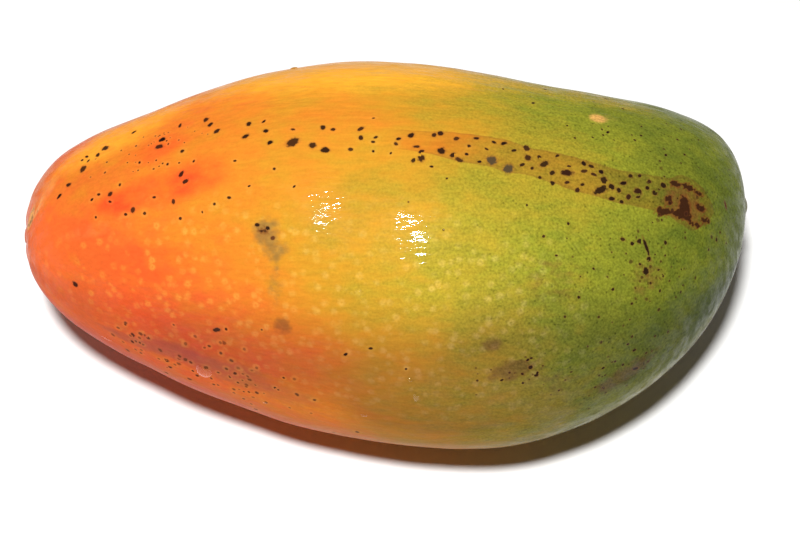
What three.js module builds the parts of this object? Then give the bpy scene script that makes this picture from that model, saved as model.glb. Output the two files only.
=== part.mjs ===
// A ripe mango lying on one broad side, as it was picked and rinsed.
// Millimetres, +Z up. The stem end points to -X and the tip to +X. The origin is on the table, under the
// middle of the fruit's bounding box. The whole fruit is one solid, because it grew as one piece.
import * as THREE from "three";
import { mergeVertices } from "three/addons/utils/BufferGeometryUtils.js";

// Driving dimensions, in millimetres.
const LENGTH = 155; // stem end to tip, along X
const GIRTH_SCALE = 1; // makes the whole fruit fatter or slimmer
const REST_FLAT_DEPTH = 0.5; // how far the skin is pressed flat where it lies on the table
const SQUARENESS = 0.017; // share by which a section is fuller on its diagonals than an ellipse

// The body, from the stem end to the tip at nine even steps of the angle that sweeps from one end to the other.
// Fullness is the half size of the ellipsoid that would touch the skin there, so a section shrinks to a point
// at both ends by itself. The spine is the line through the middles of the sections.
const HALF_WIDTH = [40, 37.5, 33.5, 37.5, 40.5, 41, 43.5, 48.5, 54];
const HALF_THICKNESS = [41, 38.5, 34, 37.5, 38.5, 37.5, 39, 43.5, 49];
const SPINE_SIDEWAYS = [0.5, 1, -1.5, -1.5, -3.5, -8, -2.5, 4.5, 9.5];
const SPINE_HEIGHT = [-2.5, -0.5, 0, 0, 0, 0, -0.3, -0.6, -1];

// A section is no true ellipse. The first swelling makes it a little three-sided, with a blunt ridge along the
// top, and the other two are broad and shallow and run slantwise round the fruit.
const SWELLINGS = [
  { height: 1.2, around: 3, along: 0, start: 3.9 },
  { height: 0.35, around: 2, along: 3, start: 1.85 },
  { height: 0.25, around: 3, along: -4, start: 1.25 },
];

// The stem scar: a woody button where the stalk broke off, in a shallow basin with puckered skin.
const BASIN_RADIUS = 10;
const BASIN_DEPTH = 0.4;
const BUTTON_RADIUS = 1.8;
const BUTTON_HEIGHT = 0.5; // above the basin's floor
const BUTTON_EDGE = 0.4; // width of the button's sloping rim
const BUTTON_HOLLOW = 0.25; // the dip in its middle, where the stalk's core was
const PUCKER_COUNT = 9;
const PUCKER_HEIGHT = 0.16;

// The tip: a low nipple, all that is left of the flower's style.
const TIP_RADIUS = 3.2;
const TIP_HEIGHT = 0.7;

// The grid of the surface.
const SIDES = 72;
const BODY_RINGS = 46;
const STEM_RING_RADII = [0.6, 1.1, 1.5, 1.75, 2, 2.4, 3, 4, 5, 6.2, 7.6, 9.2, 11];
const TIP_RING_RADII = [9.5, 7, 5, 3.6, 2.6, 1.8, 1.1, 0.5];

const smoothstep = (t) => {
  const s = Math.min(Math.max(t, 0), 1);
  return s * s * (3 - 2 * s);
};

// A round bump, 1 in its middle and 0 from its edge outwards.
const bump = (t) => (t < 1 ? (1 - t * t) ** 2 : 0);

// A smooth curve (a uniform cubic B-spline) over values at even steps, level at both ends.
function along(values, sweep) {
  const last = values.length - 1;
  const at = (i) => values[i < 0 ? -i : i > last ? 2 * last - i : i];
  const place = (sweep / Math.PI) * last;
  const i = Math.min(Math.floor(place), last - 1);
  const u = place - i;
  const weights = [
    (1 - u) ** 3,
    3 * u ** 3 - 6 * u ** 2 + 4,
    -3 * u ** 3 + 3 * u ** 2 + 3 * u + 1,
    u ** 3,
  ];
  return weights.reduce((sum, w, k) => sum + (w / 6) * at(i - 1 + k), 0);
}

// How far the surface stands out along X at the stem end, at a distance from the middle of the scar.
function stemRelief(radius, turn) {
  const basin = -BASIN_DEPTH * bump(radius / BASIN_RADIUS);
  const rim = smoothstep((BUTTON_RADIUS + BUTTON_EDGE / 2 - radius) / BUTTON_EDGE);
  const button = BUTTON_HEIGHT * rim - BUTTON_HOLLOW * bump(radius / (BUTTON_RADIUS * 0.7));
  const middle = (BUTTON_RADIUS + BASIN_RADIUS) / 2;
  const reach = (BASIN_RADIUS - BUTTON_RADIUS) / 2;
  const pucker = PUCKER_HEIGHT * bump(Math.abs(radius - middle) / reach) * Math.cos(PUCKER_COUNT * turn);
  return basin + button + pucker;
}

// A point of the skin. Sweep runs from 0 at the stem end to pi at the tip, and turn goes round the fruit
// from +Y over the top.
function skinPoint(sweep, turn) {
  const girth = Math.sin(sweep) * GIRTH_SCALE;
  const fuller = 1 + (SQUARENESS * (1 - Math.cos(4 * turn))) / 2;
  const swelling = SWELLINGS.reduce(
    (sum, s) => sum + s.height * Math.sin(s.around * turn + s.along * sweep + s.start),
    0,
  );
  const outwards = swelling * Math.sin(sweep) ** 2;
  const wide = along(HALF_WIDTH, sweep) * girth * fuller + outwards;
  const thick = along(HALF_THICKNESS, sweep) * girth * fuller + outwards;

  let x = (-LENGTH / 2) * Math.cos(sweep);
  if (sweep < Math.PI / 2) {
    x -= stemRelief(Math.sin(sweep) * HALF_WIDTH[0], turn);
  } else {
    x += TIP_HEIGHT * bump((Math.sin(sweep) * HALF_WIDTH.at(-1)) / TIP_RADIUS);
  }
  const y = along(SPINE_SIDEWAYS, sweep) + wide * Math.cos(turn);
  const z = along(SPINE_HEIGHT, sweep) + thick * Math.sin(turn);
  return new THREE.Vector3(x, y, z);
}

// The sweeps of the rings: close together over the scar and the tip, and even over the body.
function ringSweeps() {
  const stem = STEM_RING_RADII.map((r) => Math.asin(r / HALF_WIDTH[0]));
  const tip = TIP_RING_RADII.map((r) => Math.PI - Math.asin(r / HALF_WIDTH.at(-1)));
  const from = stem.at(-1);
  const step = (tip[0] - from) / (BODY_RINGS + 1);
  const body = Array.from({ length: BODY_RINGS }, (_, i) => from + (i + 1) * step);
  return [0, ...stem, ...body, ...tip, Math.PI];
}

// The fruit: a sphere's grid drawn out to the skin, set down on the table and pressed flat where it rests.
function fruitGeometry() {
  const sweeps = ringSweeps();
  const rows = sweeps.length - 1;
  const geometry = new THREE.SphereGeometry(1, SIDES, rows);
  const position = geometry.getAttribute("position");
  const uv = geometry.getAttribute("uv");
  for (let i = 0; i < position.count; i++) {
    const row = Math.round((1 - uv.getY(i)) * rows);
    const sweep = sweeps[row];
    // The sphere's poles have half a step added to u, which a pole's single point doesn't need.
    const column = row === 0 || row === rows ? 0 : Math.round(uv.getX(i) * SIDES) % SIDES;
    const point = skinPoint(sweep, Math.PI - (2 * Math.PI * column) / SIDES);
    position.setXYZ(i, point.x, point.y, point.z);
  }
  geometry.deleteAttribute("normal");
  geometry.deleteAttribute("uv");
  const skin = mergeVertices(geometry, 1e-4);

  skin.computeBoundingBox();
  const box = skin.boundingBox;
  const middle = box.getCenter(new THREE.Vector3());
  skin.translate(-middle.x, -middle.y, -box.min.z - REST_FLAT_DEPTH);
  const resting = skin.getAttribute("position");
  for (let i = 0; i < resting.count; i++) {
    resting.setZ(i, Math.max(resting.getZ(i), 0));
  }
  skin.computeVertexNormals();
  return skin;
}

const skinMaterial = new THREE.MeshStandardMaterial({ color: 0xd9a036, roughness: 0.35, metalness: 0 });

const fruit = new THREE.Mesh(fruitGeometry(), skinMaterial);
fruit.name = "fruit";

const mango = new THREE.Group();
mango.name = "mango";
mango.add(fruit);

export default mango;
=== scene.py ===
# A ripe mango, picked and rinsed, lying on a pale table.
# Everything is in metres in the CAD model's frame: the stem end points to -X, the tip to +X, and +Z is up.
import math
import random

import bmesh
import bpy
import numpy as np
from mathutils import Matrix, Vector, noise
from mathutils.bvhtree import BVHTree


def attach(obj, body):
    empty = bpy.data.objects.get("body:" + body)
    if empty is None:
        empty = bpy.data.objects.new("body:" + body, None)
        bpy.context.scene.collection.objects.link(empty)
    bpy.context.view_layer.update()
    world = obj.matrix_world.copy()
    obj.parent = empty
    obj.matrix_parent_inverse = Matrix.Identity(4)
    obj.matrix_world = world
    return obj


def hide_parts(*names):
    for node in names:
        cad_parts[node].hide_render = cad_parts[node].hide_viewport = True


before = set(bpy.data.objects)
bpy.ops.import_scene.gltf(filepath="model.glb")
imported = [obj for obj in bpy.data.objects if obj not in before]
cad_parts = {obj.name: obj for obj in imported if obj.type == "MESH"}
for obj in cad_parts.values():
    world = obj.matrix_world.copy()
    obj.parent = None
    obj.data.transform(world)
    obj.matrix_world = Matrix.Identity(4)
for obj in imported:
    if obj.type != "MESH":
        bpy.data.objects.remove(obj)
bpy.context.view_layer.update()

scene = bpy.context.scene

# The camera looks down on the fruit from the side of the photograph's viewer.
# Its height, distance and lens were found by fitting the fruit's outline to the photograph's.
MM = 0.001
VIEW_ELEVATION = math.radians(58)
VIEW_DISTANCE = 450 * MM
VIEW_CENTRE = Vector((2.8, -2.3, 36)) * MM
LENS = 95.3


def direction(azimuth, elevation):
    """The way from the fruit to a place at an azimuth, from the viewer's side, and an elevation."""
    level = math.cos(elevation)
    return Vector((level * math.sin(azimuth), -level * math.cos(azimuth), math.sin(elevation)))


def look_at(thing, place, centre):
    """Puts a camera or lamp at a place and turns it to face the centre."""
    thing.location = place
    thing.rotation_euler = (centre - place).to_track_quat("-Z", "Y").to_euler()


camera = bpy.data.objects.new("camera", bpy.data.cameras.new("camera"))
scene.collection.objects.link(camera)
camera.data.lens = LENS
look_at(camera, VIEW_CENTRE + VIEW_DISTANCE * direction(0, VIEW_ELEVATION), VIEW_CENTRE)
scene.camera = camera

# The skin: one thin waxy peel that grew round the whole fruit, with the stem scar at one end and a small
# nipple at the other. It takes the solid's shape, is rounded off by subdivision, and gets the skin's own
# fine unevenness.
SKIN_LEVELS = 2
SKIN_WAVES = ((14.0, 0.3), (6.0, 0.05))  # wavelength and height of the skin's low waves, in millimetres
WAVES_AT = Vector((51.8, 36.3, -51.8))  # the part of the noise that the waves are taken from
SWELLINGS = (  # two broad ones on top, as (along, across, half length, half width, height), in millimetres
    (-20, -8, 7, 12, 0.44),
    (-8, -8, 7, 12, -0.4),
)
CLEAR_OF_TABLE = 4  # millimetres above the table where the waves reach their full height
CORE_HEIGHT = 37  # millimetres above the table, where the line through the fruit's middle runs


def skin_mesh():
    """The solid's surface as a mesh of four-sided faces, subdivided, and as loose from the solid as a peel."""
    peel = bmesh.new()
    peel.from_mesh(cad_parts["fruit"].data)
    bmesh.ops.remove_doubles(peel, verts=peel.verts, dist=0.001 * MM)
    bmesh.ops.join_triangles(
        peel, faces=peel.faces, angle_face_threshold=math.pi, angle_shape_threshold=math.pi
    )
    coarse = bpy.data.meshes.new("skin_coarse")
    peel.to_mesh(coarse)
    peel.free()
    holder = bpy.data.objects.new("skin_coarse", coarse)
    scene.collection.objects.link(holder)
    rounding = holder.modifiers.new("rounding", "SUBSURF")
    rounding.levels = SKIN_LEVELS
    rounding.render_levels = SKIN_LEVELS
    graph = bpy.context.evaluated_depsgraph_get()
    fine = bpy.data.meshes.new_from_object(holder.evaluated_get(graph))
    bpy.data.objects.remove(holder)
    bpy.data.meshes.remove(coarse)
    return fine


def numbers(items, name, width=3):
    """One value of each vertex, corner or face of a mesh, as an array with a row for each."""
    values = np.empty(len(items) * width)
    items.foreach_get(name, values)
    return values.reshape(-1, width)


mesh = skin_mesh()
mesh.name = "skin"
points = numbers(mesh.vertices, "co")
outwards = numbers(mesh.vertices, "normal")
for i, place in enumerate(points / MM):
    lift = sum(height * noise.noise(Vector(place / length) + WAVES_AT) for length, height in SKIN_WAVES)
    if place[2] > CORE_HEIGHT:
        for ahead, across, half_length, half_width, height in SWELLINGS:
            away = ((place[0] - ahead) / half_length) ** 2 + ((place[1] - across) / half_width) ** 2
            lift += height * math.exp(-away)
    near_table = min(place[2] / CLEAR_OF_TABLE, 1)
    points[i] += outwards[i] * lift * near_table * MM
mesh.vertices.foreach_set("co", points.ravel())
mesh.shade_smooth()
skin = bpy.data.objects.new("skin", mesh)
scene.collection.objects.link(skin)

# The chart of the skin: a place on it is given by its millimetres along the fruit, as X, and its millimetres
# round the fruit's core, counted from the ridge on top towards the viewer.
CORE_RADIUS = 37  # millimetres, the skin's usual distance from the core
ONCE_ROUND = 2 * math.pi * CORE_RADIUS
surface = BVHTree.FromPolygons([Vector(place) for place in points], [face.vertices for face in mesh.polygons])
along = points[:, 0] / MM
around = CORE_RADIUS * np.arctan2(-points[:, 1] / MM, points[:, 2] / MM - CORE_HEIGHT)


def on_skin(along, around):
    """The place on the skin, and the direction straight out of it, at a place on the chart."""
    angle = around / CORE_RADIUS
    core = Vector((along, 0, CORE_HEIGHT)) * MM
    place, normal, _, _ = surface.ray_cast(core, Vector((0, -math.sin(angle), math.cos(angle))))
    return place, normal


def smooth_step(share):
    """Rises smoothly from 0 to 1 as the share does."""
    share = np.clip(share, 0, 1)
    return share * share * (3 - 2 * share)


def rising(values, start, full):
    """0 where a value is below its start, and 1 from where it is full."""
    return smooth_step((values - start) / (full - start))


def store(name, values):
    """Keeps a value of each vertex of the skin under a name, for the material."""
    mesh.attributes.new(name, "FLOAT", "POINT").data.foreach_set("value", values.astype(np.float32))


# Ripeness: the skin ripens from the stem end, so its colour runs from red-orange there to deep green at the
# tip. Each row gives where one stage of colour is reached, in millimetres along, at the places round the
# fruit.
ROUND_THE_FRUIT = (-116, -60, -14, -2, 12, 20, 30, 40, 60, 116)
STAGES = (
    (-70, -78, -84, -84, -62, -52, -48, -46, -50, -70),
    (-26, -34, -37, -36, -37, -35, -25, -14, -12, -26),
    (4, 2, 2, 4, -20, -18, -9, -2, -1, 4),
    (24, 20, 18, 26, 16, 6, 13, 19, 25, 24),
    (40, 38, 36, 43, 43, 38, 33, 35, 42, 40),
    (74, 72, 72, 76, 72, 68, 68, 70, 72, 74),
)


def ripeness():
    """How unripe each vertex is, from 0 at the red-orange stem end to 1 at the green tip."""
    starts = [np.interp(around, ROUND_THE_FRUIT, row) for row in STAGES]
    steps = [np.clip((along - a) / (b - a), 0, 1) for a, b in zip(starts, starts[1:])]
    return sum(steps) / len(steps)


store("unripe", ripeness())

# Soft patches of other colours in the skin: sun blush, bruises, old rubs and stains, and painted light along the top
# edge.
# Each is (along, around, half length, half height, turn in degrees, strength), in millimetres on the chart.
PATCHES = {
    "blush": (
        (-54, 4.5, 8, 5, -6, 0.8),
        (-46, 3, 14, 6.5, 4, 0.6),
        (-38, 1.5, 9, 6.5, 10, 0.5),
        (-47, -8, 9, 5, 0, 0.45),
        (-60, 12, 7, 6, 0, 0.3),
        (-47, 24, 16, 9, 0, 0.35),
        (-52, 40, 12, 12, 0, 0.3),
        (-55, -60, 22, 20, 0, 0.4),
        (-60, 95, 18, 25, 0, 0.4),
    ),
    "dusk": (
        (-53, 56, 9, 4, 4, 0.8),
        (-43, 53, 11, 6, 0, 0.9),
        (-31, 55, 11, 7, -4, 0.7),
        (-20, 58, 9, 5, 0, 0.4),
        (19, -33, 9, 2.6, 6, 0.8),
        (29, -36, 5, 2, 4, 0.5),
    ),
    # painted light: lighter, more golden skin along the top edge
    "painted_top_light": (
        (-8, -26, 46, 16, 0, 0.8),
        (-56, -21, 20, 12, -12, 0.7),
        (40, -28, 24, 9, 0, 0.3),
    ),
    "bruise": (
        (25.5, 44, 7, 3.2, -8, 1.0),
        (21, 38.5, 3, 2, 0, 0.9),
        (33, 48, 9, 4, 0, 0.25),
        (-20.5, 37, 2.4, 3.2, 0, 0.8),
        (33, 26, 9, 8, 0, 0.25),
        (47.5, 53, 8, 4.5, -12, 0.85),
        (53, 50, 4, 3, 0, 0.5),
        (52, 27, 5, 8, 0, 0.4),
        (60.5, 4, 6.5, 8.5, 0, 0.75),
        (-48, -88, 9, 6, 20, 0.7),
        (14, -95, 11, 5, -15, 0.5),
    ),
    "smudge": (
        (-23.5, 16, 3.6, 4.2, 10, 1.0),
        (-21.5, 20, 3.4, 2.6, -30, 0.8),
        (-22, 27, 2.2, 7, -4, 0.4),
    ),
    "pale": (
        (43.2, -16.5, 2.4, 2.2, 0, 1.0),
        (46, -18, 2.5, 1.6, 10, 0.2),
        (-71, -13, 3, 7, 20, 0.4),
        (-61, 12, 10, 4, -8, 0.2),
    ),
    "burnt": (
        (60.4, 4.8, 1.7, 4.4, 0, 1.0),
        (59.6, 8.2, 3.4, 1.7, 8, 1.0),
        (55.6, 8.4, 2.0, 1.7, 0, 1.0),
        (62.4, 10.2, 2.6, 1.5, 12, 0.72),
        (65.0, 7.6, 1.6, 2.2, -30, 0.68),
        (64.0, 3.6, 1.8, 2.2, 0, 0.74),
        (57.0, 4.6, 1.0, 2.4, 0, 0.8),
        (58.6, -1.2, 1.8, 1.6, 0, 0.9),
        (61.5, -1.8, 2.0, 1.5, 0, 0.9),
        (63.8, -1.4, 1.6, 1.4, 20, 0.75),
        (-24.2, 15.7, 1.1, 1.2, 0, 0.6),
    ),
    "cork": (
        (-74.7, -13, 1.5, 8, 0, 1.0),
        (-72.6, -11, 1.2, 5, 15, 0.5),
    ),
    "dotted": (
        (-45, 30, 38, 32, 0, 1.0),
        (-22, 35, 42, 34, 0, 0.9),
        (12, 36, 42, 32, 0, 0.9),
        (-30, -70, 70, 50, 0, 0.7),
        (-20, 100, 80, 40, 0, 0.8),
    ),
}


PATCH_STEEPNESS = 1.5  # how much faster than evenly a patch reaches its full strength


def patch(along_middle, around_middle, half_length, half_height, turn, strength):
    """A patch's strength at each vertex, highest in its middle and 0 from its edge outwards."""
    ahead = along - along_middle
    across = (around - around_middle + ONCE_ROUND / 2) % ONCE_ROUND - ONCE_ROUND / 2
    slant = math.radians(turn)
    u = (ahead * math.cos(slant) + across * math.sin(slant)) / half_length
    v = (across * math.cos(slant) - ahead * math.sin(slant)) / half_height
    return strength * smooth_step(PATCH_STEEPNESS * (1 - np.hypot(u, v)))


for name, patches in PATCHES.items():
    store(name, np.clip(sum(patch(*facts) for facts in patches), 0, 1))

# Broad changes of the skin over its sides and ends: painted shade low on the viewer's side, drier down both
# sides, painted light past the ridge, at the stem end and in a patch in the middle, a painted reflection along
# the low edge of the tip half, and painted shade underneath. Each pair is where a change starts and where it is
# full, in millimetres on the chart. A pair named for the stem end counts from the middle towards it.
PAINTED_SHADE_SIDE = (27, 46)
PAINTED_SHADE_FADES = (55, 70)
PAINTED_SHADE_STEM_END = (38, 58)
RIPE_HALF = (0, 15)
RIPE_SIDE = (48, 64)
LOST_LOW_DOWN, LOST_AT_STEM, LOST_ON_RIPE_SIDE = 0.8, 0.55, 0.9  # the share of the painted shade that is lost there
PAINTED_SHADE_PATCHES = ((30, 36, 26, 14, 0, 0.4), (8, 55, 20, 9, 0, 0.3))
# Painted shade: the skin is darkened low on the viewer's side, less so at the stem end, on the ripe side and low
# down.
painted_shade = rising(around, *PAINTED_SHADE_SIDE)
painted_shade *= 1 - LOST_LOW_DOWN * rising(around, *PAINTED_SHADE_FADES)
painted_shade *= 1 - LOST_AT_STEM * rising(-along, *PAINTED_SHADE_STEM_END)
painted_shade *= 1 - LOST_ON_RIPE_SIDE * rising(-along, *RIPE_HALF) * rising(around, *RIPE_SIDE)
store("painted_shade", np.clip(painted_shade + sum(patch(*facts) for facts in PAINTED_SHADE_PATCHES), 0, 1))

DRY_SIDES = (35, 60)
WET_TIP = (-40, -10)
store("drier", rising(np.abs(around), *DRY_SIDES) * rising(-along, *WET_TIP))

PAST_RIDGE = (7, 21)
BACK_ENDS = (-60, -35)
LOW_EDGE = (55, 63)
TIP_HALF = (35, 50)
PAINTED_LIGHT_STEM_END = (62, 72)
PAINTED_LIGHT_MIDDLE = (14, 22, 30, 18, 0, 0.5)
# Painted light past the ridge, at the stem end and in a patch in the middle, and a painted reflection along the low
# edge of the tip half.
painted_light_and_sheen = rising(-around, *PAST_RIDGE) * rising(around, *BACK_ENDS)
painted_light_and_sheen = np.maximum(painted_light_and_sheen, rising(around, *LOW_EDGE) * rising(along, *TIP_HALF))
painted_light_and_sheen = np.maximum(painted_light_and_sheen, patch(*PAINTED_LIGHT_MIDDLE))
store("painted_light_and_sheen", np.maximum(painted_light_and_sheen, rising(-along, *PAINTED_LIGHT_STEM_END)))

UNDERSIDE = (55, 80)
store("shaded", rising(np.abs(around), *UNDERSIDE))

# The sap run: sap from the broken stalk once ran along the top to the tip and left a band of stained skin.
# Each row is (along, upper edge, lower edge), in millimetres on the chart.
SAP_RUN = (
    (-6, -4.5, -1.5),
    (6, -4.8, 0),
    (13, -5, 1.5),
    (23, -4.5, 3),
    (31, -3, 4.5),
    (38, -2, 6),
    (47, -1, 8),
    (54, -1.2, 9),
    (57, -2, 9.6),
    (60, -5, 12),
    (62.5, -6, 12.2),
    (65, -4.5, 9.5),
    (66.7, -1, 4.5),
    (67.3, 1.2, 2.2),
)
SAP_RUN_STARTS = (-4, 12)  # millimetres along, between which the stain comes in


def sap_run():
    """How far each vertex lies across the sap run, from -1 at its upper edge to 1 at its lower edge."""
    stops, upper, lower = (np.array(column) for column in zip(*SAP_RUN))
    middle = np.interp(along, stops, (upper + lower) / 2)
    half = np.interp(along, stops, (lower - upper) / 2)
    return (around - middle) / half


CLEAR_OF_SAP = 3  # half widths from its middle, farther than which the distance no longer matters
store("across_sap", np.clip(sap_run(), -CLEAR_OF_SAP, CLEAR_OF_SAP))
store("sap", rising(along, *SAP_RUN_STARTS) * (along < SAP_RUN[-1][0]))

# Spots: lenticels, the skin's breathing pores, that sap has burnt dark, and small scars. Places are
# millimetres on the chart, and the groups go from large blots down to pinpricks that have a pale ring.
SPOTS = {
    1.05: ((-62.5, -12.5), (-18.5, -2.5), (-12, -0.5), (36, 2), (42.5, 5.2), (11, -0.4)),
    0.75: (
        (-65.5, -9), (-59.5, -15.5), (-58, -17), (-46, -9), (-45.5, -11), (-36.5, -13), (-35.5, -11),
        (-28, -5.5), (5, -3.5), (7, 1.5), (14.5, 1.4), (13.2, 0.4), (10.8, -4.5), (28, -3), (28.2, -0.5),
        (31.5, 0.6), (43.5, 2.6), (45, 4), (48.5, 6), (50.5, 4), (-64, 35.5), (50.6, 17.3),
        (46.5, 4.6), (54, 3.5), (56, 0.5), (-34, 41),
    ),
    0.64: ((-27.5, -8.5), (-14.5, -1.5), (-7, -0.5), (-41, 0.5), (52.2, 19.8)),
    0.52: (
        (-67.5, -6.5), (-62, -17.5), (-52, -18.5), (-42, -14), (-41, -5.5), (-34, -8.5), (-18.5, -5.5), (-24, -6),
        (-56, 1), (-51, 7.5), (-42.5, 7), (-40, 2.5), (-5, -3), (-23, -3), (2, -1.5), (2.5, -2.6),
        (6, -1), (7, 0), (5.5, 2), (9.6, -4), (14, -3.5), (16, 0), (18, -4), (21.5, -3.5), (23.5, -3.5),
        (25.5, -2), (30.5, -1), (29, 2), (30.5, 4), (27, 1.4), (33, 2.5), (36.5, 0.4), (36, 4.4), (39, 4.5),
        (39.5, -1), (39.5, 1), (41.5, 1.5), (43, 0.5), (45, 7), (47, 7.6), (50.5, 5.6), (47.5, 2.5), (49, 0.2),
        (51, -0.5), (52.5, 2.5), (53, 0.5), (47, 17), (49, 18), (51.5, 17.5), (52.5, 19.5), (52.5, 22), (-2, -3),
        (-5, -5), (-12.5, -5.5), (-10.5, -5), (34.2, -2), (33, 5), (38, 6), (41, -0.6),
    ),
    0.34: (
        (-61.5, -15), (-63, -17), (-60, 1), (-56, 3.5), (-54, -1), (-50, -6), (-48.5, 9), (-52.5, 8.5), (-59, 7.5),
        (-58.5, 0), (-46.5, 5), (-41, 11.5), (-36.5, 10.5), (-34, 9), (-38.5, -2), (-44, -3),
        (-24.5, -8.5), (-2.5, -7.5), (-2.5, -2),
        (-2.5, 0), (1, 0.5), (-30, 0), (-27, 6), (-31, 8), (-22, 3), (-18, 7), (16.5, -2), (18.5, 1.5),
        (20, -1.6), (9, 3.2), (12, 5.6), (31, 17), (33.5, 21), (36, 14), (41, 24), (45, 29), (38, 30),
        (48.5, 43.5), (28, 42), (23, 46), (30, 45), (4, 44), (-8, 42), (-3, 40), (46, 47), (50, 46), (44, 50),
        (24, -22), (30, -18), (38, -8), (45, -12), (52, -14), (57, -10), (60, -18), (49, -24), (33, -27),
    ),
}
DARK, RUSTY, GREY = 0.0, 0.5, 1.0  # the tone of a spot
BLOTS = (  # the larger odd ones, as (along, around, half length, half height, turn in degrees, tone)
    (21, 1, 1.0, 1.0, 0, GREY),
    (24.2, 2.6, 1.15, 0.95, 35, GREY),
    (42.8, 5.2, 1.7, 0.75, 32, DARK),
    (-25.3, 14.4, 0.5, 0.4, 0, DARK),
    (-23.2, 15.2, 0.45, 0.4, 0, DARK),
    (-22.2, 17.3, 0.5, 0.4, 0, RUSTY),
    (51.9, 18.6, 0.35, 1.9, 22, DARK),
    (51.9, 25.2, 0.65, 0.85, 0, DARK),
    (70.1, -4.6, 0.4, 0.9, 20, RUSTY),
    (50.6, 52.2, 0.8, 0.4, -30, DARK),
    (28.6, 43.6, 0.5, 0.5, 0, DARK),
    (29.8, 45.4, 0.5, 0.4, 0, DARK),
)
SCATTERED = (  # (count, along, around, spread along, spread around, half size), in millimetres on the chart
    (46, -40, 55, 9, 6, 0.34),
    (34, -26, 58, 6, 7, 0.3),
    (12, -53, 54, 4, 3, 0.36),
    (40, -48, -9, 6, 4, 0.17),
    (16, 61, 4, 5, 6, 0.3),
    (26, 50, -15, 12, 8, 0.2),
    (30, 42, 22, 14, 10, 0.2),
    (22, 50, 50, 6, 5, 0.22),
    (18, 27, 44, 5, 3, 0.2),
    (26, 56, 24, 5, 7, 0.2),
    (60, -30, -75, 30, 18, 0.4),
    (60, 30, -80, 28, 20, 0.35),
    (40, -20, 92, 35, 12, 0.35),
    (12, 50, 27, 3, 5, 0.26),
)
GREEN_FROM = 10  # millimetres along, beyond which no spot is rusty
SPOTS_END = 72  # millimetres along, either way, beyond which there are no spots
BLOT_DEPTH = 0.95  # how strongly a blot covers the skin
FAR_AWAY = 9.0  # the number of half sizes that stands for no spot near by
dice = random.Random(7)


def all_spots():
    """Every spot as (along, around, half length, half height, turn in degrees, tone, depth)."""
    spots = [(*blot, BLOT_DEPTH) for blot in BLOTS]
    for size, places in SPOTS.items():
        for ahead, across in places:
            stretch = dice.uniform(0.95, 1.4)
            half = size * dice.uniform(0.7, 1.1)
            tone = dice.choice((DARK, DARK, RUSTY * 0.2))
            turn = dice.gauss(10, 30)
            spots.append((ahead, across, half * stretch, half / stretch, turn, tone, dice.uniform(0.9, 1)))
    for count, ahead, across, spread_along, spread_around, size in SCATTERED:
        for _ in range(count):
            here = (dice.gauss(ahead, spread_along), dice.gauss(across, spread_around))
            half = size * dice.uniform(0.7, 1.4)
            tone = DARK if here[0] > GREEN_FROM else dice.choice((DARK, RUSTY))
            half_length = half * dice.uniform(1, 1.3)
            turn = dice.uniform(-90, 90)
            spots.append((*here, half_length, half, turn, tone, dice.uniform(0.45, 0.95)))
    return [spot for spot in spots if abs(spot[0]) < SPOTS_END]


def chart_spots():
    """Gives each face corner its place within the nearest spot, in half sizes, and each face the spot's facts."""
    spots = all_spots()
    middles, ahead_axes, across_axes = [], [], []
    for spot in spots:
        place, normal = on_skin(spot[0], spot[1])
        level = (Vector((1, 0, 0)) - normal.x * normal).normalized()
        sideways = normal.cross(level)
        slant = math.radians(spot[4])
        middles.append(place)
        ahead_axes.append((level * math.cos(slant) + sideways * math.sin(slant)) / (spot[2] * MM))
        across_axes.append((sideways * math.cos(slant) - level * math.sin(slant)) / (spot[3] * MM))
    middles, ahead_axes, across_axes = (np.array(rows) for rows in (middles, ahead_axes, across_axes))
    sizes = np.array([max(spot[2], spot[3]) for spot in spots]) * MM
    tones = np.array([spot[5] for spot in spots])
    centres = numbers(mesh.polygons, "center")
    nearest = np.empty(len(centres), dtype=int)
    for rows in np.array_split(np.arange(len(centres)), 40):
        gaps = np.linalg.norm(centres[rows, None] - middles[None], axis=2) - sizes
        nearest[rows] = gaps.argmin(axis=1)
    faces = np.repeat(np.arange(len(centres)), numbers(mesh.polygons, "loop_total", 1).ravel().astype(int))
    corners = points[numbers(mesh.loops, "vertex_index", 1).ravel().astype(int)]
    own = nearest[faces]
    offset = corners - middles[own]
    inside = np.stack([(offset * ahead_axes[own]).sum(axis=1), (offset * across_axes[own]).sum(axis=1)], axis=1)
    inside = np.clip(inside, -FAR_AWAY, FAR_AWAY)
    chart = mesh.uv_layers.new(name="spots")
    chart.data.foreach_set("uv", inside.ravel().astype(np.float32))
    mesh.attributes.new("spot_tone", "FLOAT", "FACE").data.foreach_set("value", tones[nearest].astype(np.float32))
    mesh.attributes.new("spot_size", "FLOAT", "FACE").data.foreach_set(
        "value", (sizes[nearest] / MM).astype(np.float32)
    )
    depths = np.array([spot[6] for spot in spots])
    mesh.attributes.new("spot_depth", "FLOAT", "FACE").data.foreach_set("value", depths[nearest].astype(np.float32))


chart_spots()

# The two ends: the woody button where the stalk broke off, and the dry brown point of the nipple at the tip.
BUTTON_EDGE = (1.7, 2.3)  # millimetres from the middle of the scar
SCAR_EDGE = (2.2, 5.0)
TIP_EDGE = (0.9, 2.6)
TIP_HALO = (2.0, 9.0)
END_FROM = 60  # millimetres along, beyond which the skin belongs to an end
FAR_OFF = 100  # the distance given to the rest of the skin


def from_end(end, side):
    """Each vertex's distance from the axis of one end of the fruit, in millimetres, and far away at the other."""
    off_axis = np.hypot(*(points[:, 1:] - points[end, 1:]).T) / MM
    return np.where(along * side > END_FROM, off_axis, FAR_OFF)


def fading(distance, edge):
    """1 nearer than an edge and 0 beyond it."""
    return smooth_step((edge[1] - distance) / (edge[1] - edge[0]))


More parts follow.
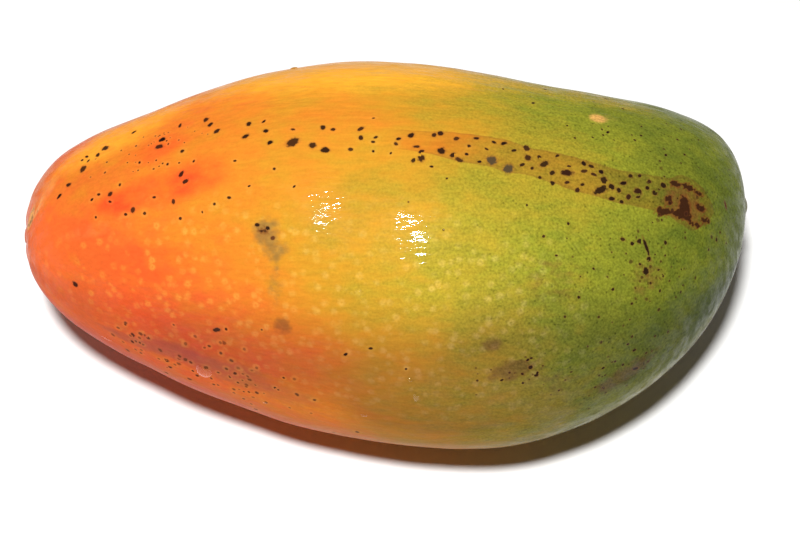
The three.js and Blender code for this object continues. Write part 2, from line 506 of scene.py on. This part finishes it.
from_scar = from_end(along.argmin(), -1)
from_tip = from_end(along.argmax(), 1)
store("button", fading(from_scar, BUTTON_EDGE))
store("scar", fading(from_scar, SCAR_EDGE))
store("tip", fading(from_tip, TIP_EDGE))
store("tip_halo", fading(from_tip, TIP_HALO))

# The skin's finish: waxy skin with its colour in it, from red-orange to deep green, finely speckled and
# streaked, with pale dots where its pores are, dark spots and stains, and a patchy wet shine from rinsing.
finish = bpy.data.materials.new("mango_skin")
finish.use_nodes = True
tree = finish.node_tree
shader = tree.nodes["Principled BSDF"]


def node(kind, values=(), **settings):
    """A shader node of the skin's finish, with values or other nodes' outputs on its sockets."""
    made = tree.nodes.new(kind)
    for name, setting in settings.items():
        setattr(made, name, setting)
    for socket, value in dict(values).items():
        if isinstance(value, bpy.types.NodeSocket):
            tree.links.new(value, made.inputs[socket])
        else:
            made.inputs[socket].default_value = value
    return made


def sum_up(operation, *terms):
    """The output of a Math node."""
    return node("ShaderNodeMath", enumerate(terms), operation=operation).outputs[0]


def between(value, low, high, to_low=0.0, to_high=1.0):
    """A value's way from low to high as a smooth mask."""
    values = {"Value": value, "From Min": low, "From Max": high, "To Min": to_low, "To Max": to_high}
    return node("ShaderNodeMapRange", values, interpolation_type="SMOOTHSTEP").outputs["Result"]


def kept(name):
    """A value that the mesh keeps."""
    return node("ShaderNodeAttribute", attribute_name=name).outputs["Fac"]


def blend(amount, under, over, mode="MIX"):
    """One colour laid over another."""
    values = {0: amount, 6: under, 7: over}
    return node("ShaderNodeMix", values, data_type="RGBA", blend_type=mode).outputs[2]


def cloud(size, stretch=(1, 1, 1), detail=2.0, offset=0.0):
    """Soft noise about 0.5, with lumps of a size in millimetres, stretched along the axes."""
    scale = tuple(1 / (MM * size * share) for share in stretch)
    values = {"Vector": place_on_skin, "Scale": scale, "Location": (offset, offset, offset)}
    spot = node("ShaderNodeMapping", values).outputs[0]
    return node("ShaderNodeTexNoise", {"Vector": spot, "Scale": 1.0, "Detail": detail}).outputs["Fac"]


def pores(spacing, offset=0.0):
    """The distance in millimetres to the nearest of many pores."""
    scale = 1 / (MM * spacing)
    values = {"Vector": place_on_skin, "Scale": (scale, scale, scale), "Location": (offset, offset, offset)}
    spot = node("ShaderNodeMapping", values).outputs[0]
    distance = node("ShaderNodeTexVoronoi", {"Vector": spot, "Scale": 1.0}).outputs["Distance"]
    return sum_up("MULTIPLY", distance, spacing)


place_on_skin = node("ShaderNodeTexCoord").outputs["Object"]
RIPE_COLOURS = (  # linear red, green and blue at each stage of ripeness, from the stem end to the tip
    (0.70, 0.115, 0.022),
    (0.64, 0.185, 0.018),
    (0.53, 0.24, 0.018),
    (0.34, 0.245, 0.020),
    (0.205, 0.212, 0.018),
    (0.105, 0.13, 0.014),
)
unripe = kept("unripe")
lumps = cloud(11, (1.5, 1, 1), 3, 3.0)
flecks = cloud(2.6, (2.2, 1, 1), 3, 8.0)
unripe = sum_up("ADD", unripe, sum_up("MULTIPLY", sum_up("SUBTRACT", lumps, 0.5), 0.32))
unripe = sum_up("ADD", unripe, sum_up("MULTIPLY", sum_up("SUBTRACT", flecks, 0.5), 0.28))
ramp = node("ShaderNodeValToRGB", {"Fac": unripe})
elements = ramp.color_ramp.elements
while len(elements) < len(RIPE_COLOURS):
    elements.new(0.5)
for i, colour in enumerate(RIPE_COLOURS):
    elements[i].position = i / (len(RIPE_COLOURS) - 1)
    elements[i].color = (*colour, 1)
colour = ramp.outputs["Color"]

# Broad stains and blushes in the skin, and painted light along the top edge, ragged where noise eats into their
# edges.
BLUSH = (0.78, 0.062, 0.016, 1)
DUSK = (0.30, 0.085, 0.055, 1)
BRUISE = (0.16, 0.065, 0.02, 1)
SMUDGE = (0.20, 0.12, 0.035, 1)
PALE = (0.88, 0.40, 0.13, 1)
PAINTED_TOP_LIGHT = (0.93, 0.43, 0.03, 1)
PAINTED_SHADE_RIPE = (0.65, 0.53, 0.9, 1)
PAINTED_SHADE_GREEN = (0.52, 0.55, 0.85, 1)
SHADED = (0.80, 0.55, 1.0, 1)
SAP_STAIN = (0.93, 0.68, 0.78, 1)
DOT_RIPE = (0.86, 0.36, 0.05, 1)
DOT_GREEN = (0.46, 0.46, 0.12, 1)
ragged = cloud(1.6, (1.6, 1, 1), 4, 21.0)


def stain(name, ragged_by):
    """How strong a kind of patch is at a place, with a ragged edge."""
    bite = sum_up("MULTIPLY", sum_up("SUBTRACT", ragged, 0.5), ragged_by)
    there = kept(name)
    return between(sum_up("ADD", there, sum_up("MULTIPLY", bite, between(there, 0.0, 0.25))), 0.0, 1.0)


dotted = kept("dotted")
mottled = between(cloud(5.0, (2.2, 1, 1), 5, 131.0), 0.32, 0.6, 0.45, 1.0)
colour = blend(sum_up("MULTIPLY", kept("blush"), mottled), colour, BLUSH)
to_pore = pores(2.3, 5.0)
unround = sum_up("MULTIPLY", sum_up("SUBTRACT", cloud(0.6, (1, 1, 1), 2, 141.0), 0.5), 0.9)
to_pore = sum_up("ADD", to_pore, unround)
dot = sum_up("SUBTRACT", between(to_pore, 1.1, 0.3), sum_up("MULTIPLY", between(to_pore, 0.35, 0.0), 0.6))
uneven = between(cloud(3.5, (1, 1, 1), 2, 151.0), 0.35, 0.65, 0.35, 1.0)
dots = sum_up("MULTIPLY", dot, sum_up("MULTIPLY", sum_up("MULTIPLY", dotted, uneven), 0.42))
paler = blend(unripe, DOT_RIPE, DOT_GREEN)
colour = blend(dots, colour, paler)
STAINS_AND_PAINTED_LIGHT = (  # (patches, raggedness, strength, colour), from the lowest to the uppermost
    ("dusk", 0.6, 0.5, DUSK),
    ("bruise", 2.0, 0.6, BRUISE),
    ("smudge", 1.8, 0.75, SMUDGE),
    # painted light along the top edge
    ("painted_top_light", 0.6, 0.62, PAINTED_TOP_LIGHT),
    ("pale", 0.6, 0.55, PALE),
)
for name, ragged_by, strength, over in STAINS_AND_PAINTED_LIGHT:
    colour = blend(sum_up("MULTIPLY", stain(name, ragged_by), strength), colour, over)
# Painted shade: the skin is darkened low on the viewer's side and underneath.
colour = blend(kept("painted_shade"), colour, blend(unripe, PAINTED_SHADE_RIPE, PAINTED_SHADE_GREEN), "MULTIPLY")
colour = blend(kept("shaded"), colour, SHADED, "MULTIPLY")

# The dry places: corky wrinkles by the scar, the scar's cracked rim and woody button, and the brown tip.
CORK = (0.78, 0.40, 0.12, 1)
CRACKS = (0.07, 0.03, 0.012, 1)
WOOD = (0.30, 0.19, 0.09, 1)
TIP = (0.15, 0.12, 0.045, 1)
SCAR_RIM = (0.22, 0.10, 0.03, 1)
HALO = (0.20, 0.16, 0.02, 1)
cracked = between(cloud(0.8, (0.5, 2.2, 2.2), 4, 111.0), 0.5, 0.62)
cork = stain("cork", 0.5)
colour = blend(sum_up("MULTIPLY", cork, 0.8), colour, CORK)
colour = blend(sum_up("MULTIPLY", sum_up("MULTIPLY", cork, cracked), 0.75), colour, CRACKS)
scar = sum_up("MULTIPLY", kept("scar"), sum_up("MULTIPLY_ADD", ragged, 1.1, -0.1))
colour = blend(scar, colour, SCAR_RIM)
colour = blend(kept("button"), colour, blend(sum_up("MULTIPLY", cracked, 0.7), WOOD, CRACKS))
colour = blend(sum_up("MULTIPLY", kept("tip_halo"), 0.35), colour, HALO)
colour = blend(kept("tip"), colour, TIP)
burnt = kept("burnt")
clot_noise = sum_up("MULTIPLY", sum_up("SUBTRACT", cloud(1.0, (1, 1, 1), 4, 121.0), 0.5), 1.3)
clots = sum_up("ADD", burnt, sum_up("MULTIPLY", clot_noise, between(burnt, 0.0, 0.12)))
clot_edge = between(clots, 0.05, 0.45)
clot_mask = between(clots, 0.32, 0.6)

# The fine grain: streaks along the fruit where it is ripe, and a close speckle where it is green, then painted light
# and a painted reflection.
streaks = cloud(0.7, (6, 1, 1), 3, 31.0)
speckle = cloud(0.5, (1, 1, 1), 2, 41.0)
grain = sum_up("MULTIPLY", sum_up("SUBTRACT", streaks, 0.5), 0.30)
green_share = between(unripe, 0.35, 0.8)
close = sum_up("MULTIPLY", sum_up("SUBTRACT", speckle, 0.5), sum_up("MULTIPLY_ADD", green_share, 1.15, 0.2))
brightness = sum_up("ADD", sum_up("ADD", grain, close), 1.0)
prick = sum_up("MULTIPLY", between(pores(1.3, 9.0), 0.34, 0.12), sum_up("MULTIPLY", between(unripe, 0.5, 0.85), 0.4))
brightness = sum_up("SUBTRACT", brightness, prick)
# Painted light and a painted reflection brighten the skin where the mesh keeps them.
brightness = sum_up("ADD", brightness, sum_up("MULTIPLY", kept("painted_light_and_sheen"), 0.22))
grey = node("ShaderNodeCombineColor", {"Red": brightness, "Green": brightness, "Blue": brightness}).outputs[0]
colour = blend(1.0, colour, grey, "MULTIPLY")

# The sap run's stain, with its crisp wavering edges and a thin darker rim.
SAP_RIM = (0.12, 0.07, 0.015, 1)
waver = sum_up("MULTIPLY", sum_up("SUBTRACT", cloud(4, (2, 1, 1), 3, 51.0), 0.5), 0.5)
across = sum_up("ADD", kept("across_sap"), waver)
from_middle = sum_up("ABSOLUTE", across)
sap_inside = between(from_middle, 1.04, 0.96)
sap_rim = sum_up("MULTIPLY", between(from_middle, 0.82, 0.97), sap_inside)
sap_patchy = between(cloud(3.5, (1.8, 1, 1), 4, 61.0), 0.3, 0.7, 0.65, 1.0)
sap_strength = sum_up("MULTIPLY", sum_up("MULTIPLY", kept("sap"), sap_inside), sap_patchy)
colour = blend(sap_strength, colour, SAP_STAIN, "MULTIPLY")
colour = blend(sum_up("MULTIPLY", sum_up("MULTIPLY", sap_rim, kept("sap")), 0.25), colour, SAP_RIM)

# The spots: each has a dark middle, a softer brown edge and, where it is only a pinprick, a pale ring.
SPOT_TONES = (
    (0.0, (0.013, 0.005, 0.004)),
    (0.5, (0.09, 0.028, 0.010)),
    (1.0, (0.06, 0.042, 0.022)),
)
RING_RIPE = (0.88, 0.40, 0.07, 1)
RING_GREEN = (0.40, 0.40, 0.08, 1)
CLOT_BROWN = (0.17, 0.05, 0.012, 1)
CLOT = (0.030, 0.010, 0.005, 1)
SPOT_BROWN = (0.20, 0.06, 0.02, 1)
inside = node("ShaderNodeUVMap", uv_map="spots").outputs["UV"]
far = node("ShaderNodeVectorMath", {0: inside}, operation="LENGTH").outputs["Value"]
far = sum_up("ADD", far, sum_up("MULTIPLY", sum_up("SUBTRACT", cloud(0.7, (1, 1, 1), 3, 71.0), 0.5), 1.1))
spot_mask = between(far, 1.15, 0.72)
spot_edge = between(far, 1.6, 0.9)
tones = node("ShaderNodeValToRGB", {"Fac": kept("spot_tone")})
while len(tones.color_ramp.elements) < len(SPOT_TONES):
    tones.color_ramp.elements.new(0.5)
for element, (position, tone) in zip(tones.color_ramp.elements, SPOT_TONES):
    element.position = position
    element.color = (*tone, 1)
small = between(kept("spot_size"), 0.62, 0.38)
ring = sum_up("MULTIPLY", between(far, 3.2, 1.7), small)
ring = sum_up("MULTIPLY", ring, between(green_share, 0.0, 0.5, 0.1, 0.0))
colour = blend(ring, colour, blend(unripe, RING_RIPE, RING_GREEN))
colour = blend(sum_up("MULTIPLY", clot_edge, 0.7), colour, CLOT_BROWN)
colour = blend(sum_up("MULTIPLY", clot_mask, 0.92), colour, CLOT)
deep = kept("spot_depth")
colour = blend(sum_up("MULTIPLY", spot_edge, sum_up("MULTIPLY", deep, 0.4)), colour, SPOT_BROWN)
colour = blend(sum_up("MULTIPLY", spot_mask, deep), colour, tones.outputs["Color"])

tree.links.new(colour, shader.inputs["Base Color"])

# The surface: fine unevenness that breaks up the lamp's reflection, slightly sunk spots, and a patchy wet
# film.
fine = cloud(1.3, (2.6, 0.7, 1), 2, 81.0)
broad = cloud(5.0, (1.8, 0.8, 1), 2, 91.0)
height = sum_up("ADD", sum_up("MULTIPLY", fine, 0.12), sum_up("MULTIPLY", broad, 0.25))
height = sum_up("SUBTRACT", height, sum_up("MULTIPLY", spot_mask, 0.02))
bump = node("ShaderNodeBump", {"Strength": 1.0, "Distance": MM, "Height": height})
tree.links.new(bump.outputs["Normal"], shader.inputs["Normal"])
tree.links.new(bump.outputs["Normal"], shader.inputs["Coat Normal"])
rough = sum_up("MULTIPLY_ADD", spot_mask, 0.2, 0.36)
tree.links.new(rough, shader.inputs["Roughness"])
shader.inputs["Specular IOR Level"].default_value = 0.01
wet = between(cloud(3.0, (2.0, 0.6, 1), 3, 101.0), 0.35, 0.65, 0.05, 0.36)
wet = sum_up("MULTIPLY", wet, sum_up("MULTIPLY_ADD", kept("drier"), -0.82, 1.0))
tree.links.new(wet, shader.inputs["Coat Weight"])
shader.inputs["Coat Roughness"].default_value = 0.04
shader.inputs["Coat IOR"].default_value = 1.33
skin.data.materials.clear()
skin.data.materials.append(finish)
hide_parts("fruit")
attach(skin, "root")

# Water drops left from rinsing: small lenses of clear water that cling to the skin by themselves.
DROPS = (  # (along, around, half length, half width, height), in millimetres on the chart
    (-37.5, 57.5, 1.9, 2.2, 1.1),
    (-25, 63.5, 0.7, 0.45, 0.3),
    (-4.5, 58, 0.8, 0.5, 0.3),
    (4.8, 46.4, 0.55, 0.5, 0.35),
    (6, 50.5, 0.6, 1.2, 0.3),
    (-19.5, -33, 0.9, 0.6, 0.4),
    (-58.5, 64.5, 1.6, 0.5, 0.3),
    (10.5, 27, 0.45, 0.4, 0.3),
    (-5, 28, 0.4, 0.35, 0.25),
    (24, -60, 1.4, 1.1, 0.6),
    (-8, -75, 1.0, 0.8, 0.5),
    (40, -52, 0.6, 0.5, 0.35),
    (-44, -55, 0.8, 0.6, 0.4),
)
DROP_SUNK = 0.3  # the share of a drop's height that its middle lies below the skin
DROP_SEGMENTS, DROP_RINGS = 28, 16
drops = bmesh.new()
for ahead, across, half_length, half_width, height_above in DROPS:
    drop = bmesh.ops.create_uvsphere(drops, u_segments=DROP_SEGMENTS, v_segments=DROP_RINGS, radius=MM)["verts"]
    bmesh.ops.scale(drops, verts=drop, vec=(half_length, half_width, height_above))
    place, normal = on_skin(ahead, across)
    level = (Vector((1, 0, 0)) - normal.x * normal).normalized()
    frame_there = Matrix((level, normal.cross(level), normal)).transposed().to_4x4()
    middle = place - normal * height_above * DROP_SUNK * MM
    bmesh.ops.transform(drops, verts=drop, matrix=Matrix.Translation(middle) @ frame_there)
water_mesh = bpy.data.meshes.new("water_drops")
drops.to_mesh(water_mesh)
drops.free()
water_mesh.shade_smooth()
water = bpy.data.objects.new("water_drops", water_mesh)
scene.collection.objects.link(water)
clear = bpy.data.materials.new("water")
clear.use_nodes = True
clear_shader = clear.node_tree.nodes["Principled BSDF"]
clear_shader.inputs["Base Color"].default_value = (1, 1, 1, 1)
clear_shader.inputs["Roughness"].default_value = 0.04
clear_shader.inputs["IOR"].default_value = 1.33
clear_shader.inputs["Transmission Weight"].default_value = 1
water_mesh.materials.append(clear)
# A drop this small hardly dims the skin below it, so it casts no shadow of its own.
water.visible_shadow = False
water.visible_diffuse = False
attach(water, "root")

# The table: a pale, matt board. It isn't part of the object.
bpy.ops.mesh.primitive_plane_add(size=3)
floor = bpy.context.object
floor.name = "table"
board = bpy.data.materials.new("table")
board.use_nodes = True
board_shader = board.node_tree.nodes["Principled BSDF"]
board_shader.inputs["Base Color"].default_value = (0.9, 0.9, 0.89, 1)
board_shader.inputs["Roughness"].default_value = 0.7
floor.data.materials.append(board)

# The light: one round lamp above the camera, a little to its left, in a dim, warm room that is brighter on
# the far side of the fruit than on the viewer's.
LAMP_AZIMUTH = math.radians(-10)
LAMP_ELEVATION = math.radians(70.5)
LAMP_DISTANCE = 700 * MM
LAMP_WIDTH = 74 * MM
LAMP_WATTS = 7.4
ROOM_COLOUR = (1, 0.93, 0.84, 1)
ROOM_DIM, ROOM_BRIGHT = 0.02, 0.24  # the room's strength on the viewer's side and on the far side
ROOM_DIM_UNTIL = -0.2  # how far a direction points to the far side where the room starts to brighten
lamp = bpy.data.objects.new("lamp", bpy.data.lights.new("lamp", "AREA"))
scene.collection.objects.link(lamp)
lamp.data.shape = "DISK"
lamp.data.size = LAMP_WIDTH
lamp.data.energy = LAMP_WATTS
look_at(lamp, VIEW_CENTRE + LAMP_DISTANCE * direction(LAMP_AZIMUTH, LAMP_ELEVATION), VIEW_CENTRE)

room = bpy.data.worlds.new("room")
room.use_nodes = True
facing = room.node_tree.nodes.new("ShaderNodeTexCoord").outputs["Generated"]
parts = room.node_tree.nodes.new("ShaderNodeSeparateXYZ")
room.node_tree.links.new(facing, parts.inputs[0])
fade = room.node_tree.nodes.new("ShaderNodeMapRange")
fade.inputs["From Min"].default_value = ROOM_DIM_UNTIL
fade.inputs["To Min"].default_value = ROOM_DIM
fade.inputs["To Max"].default_value = ROOM_BRIGHT
room.node_tree.links.new(parts.outputs["Y"], fade.inputs["Value"])
room.node_tree.links.new(fade.outputs["Result"], room.node_tree.nodes["Background"].inputs["Strength"])
room.node_tree.nodes["Background"].inputs["Color"].default_value = ROOM_COLOUR
scene.world = room
scene.view_settings.view_transform = "Standard"
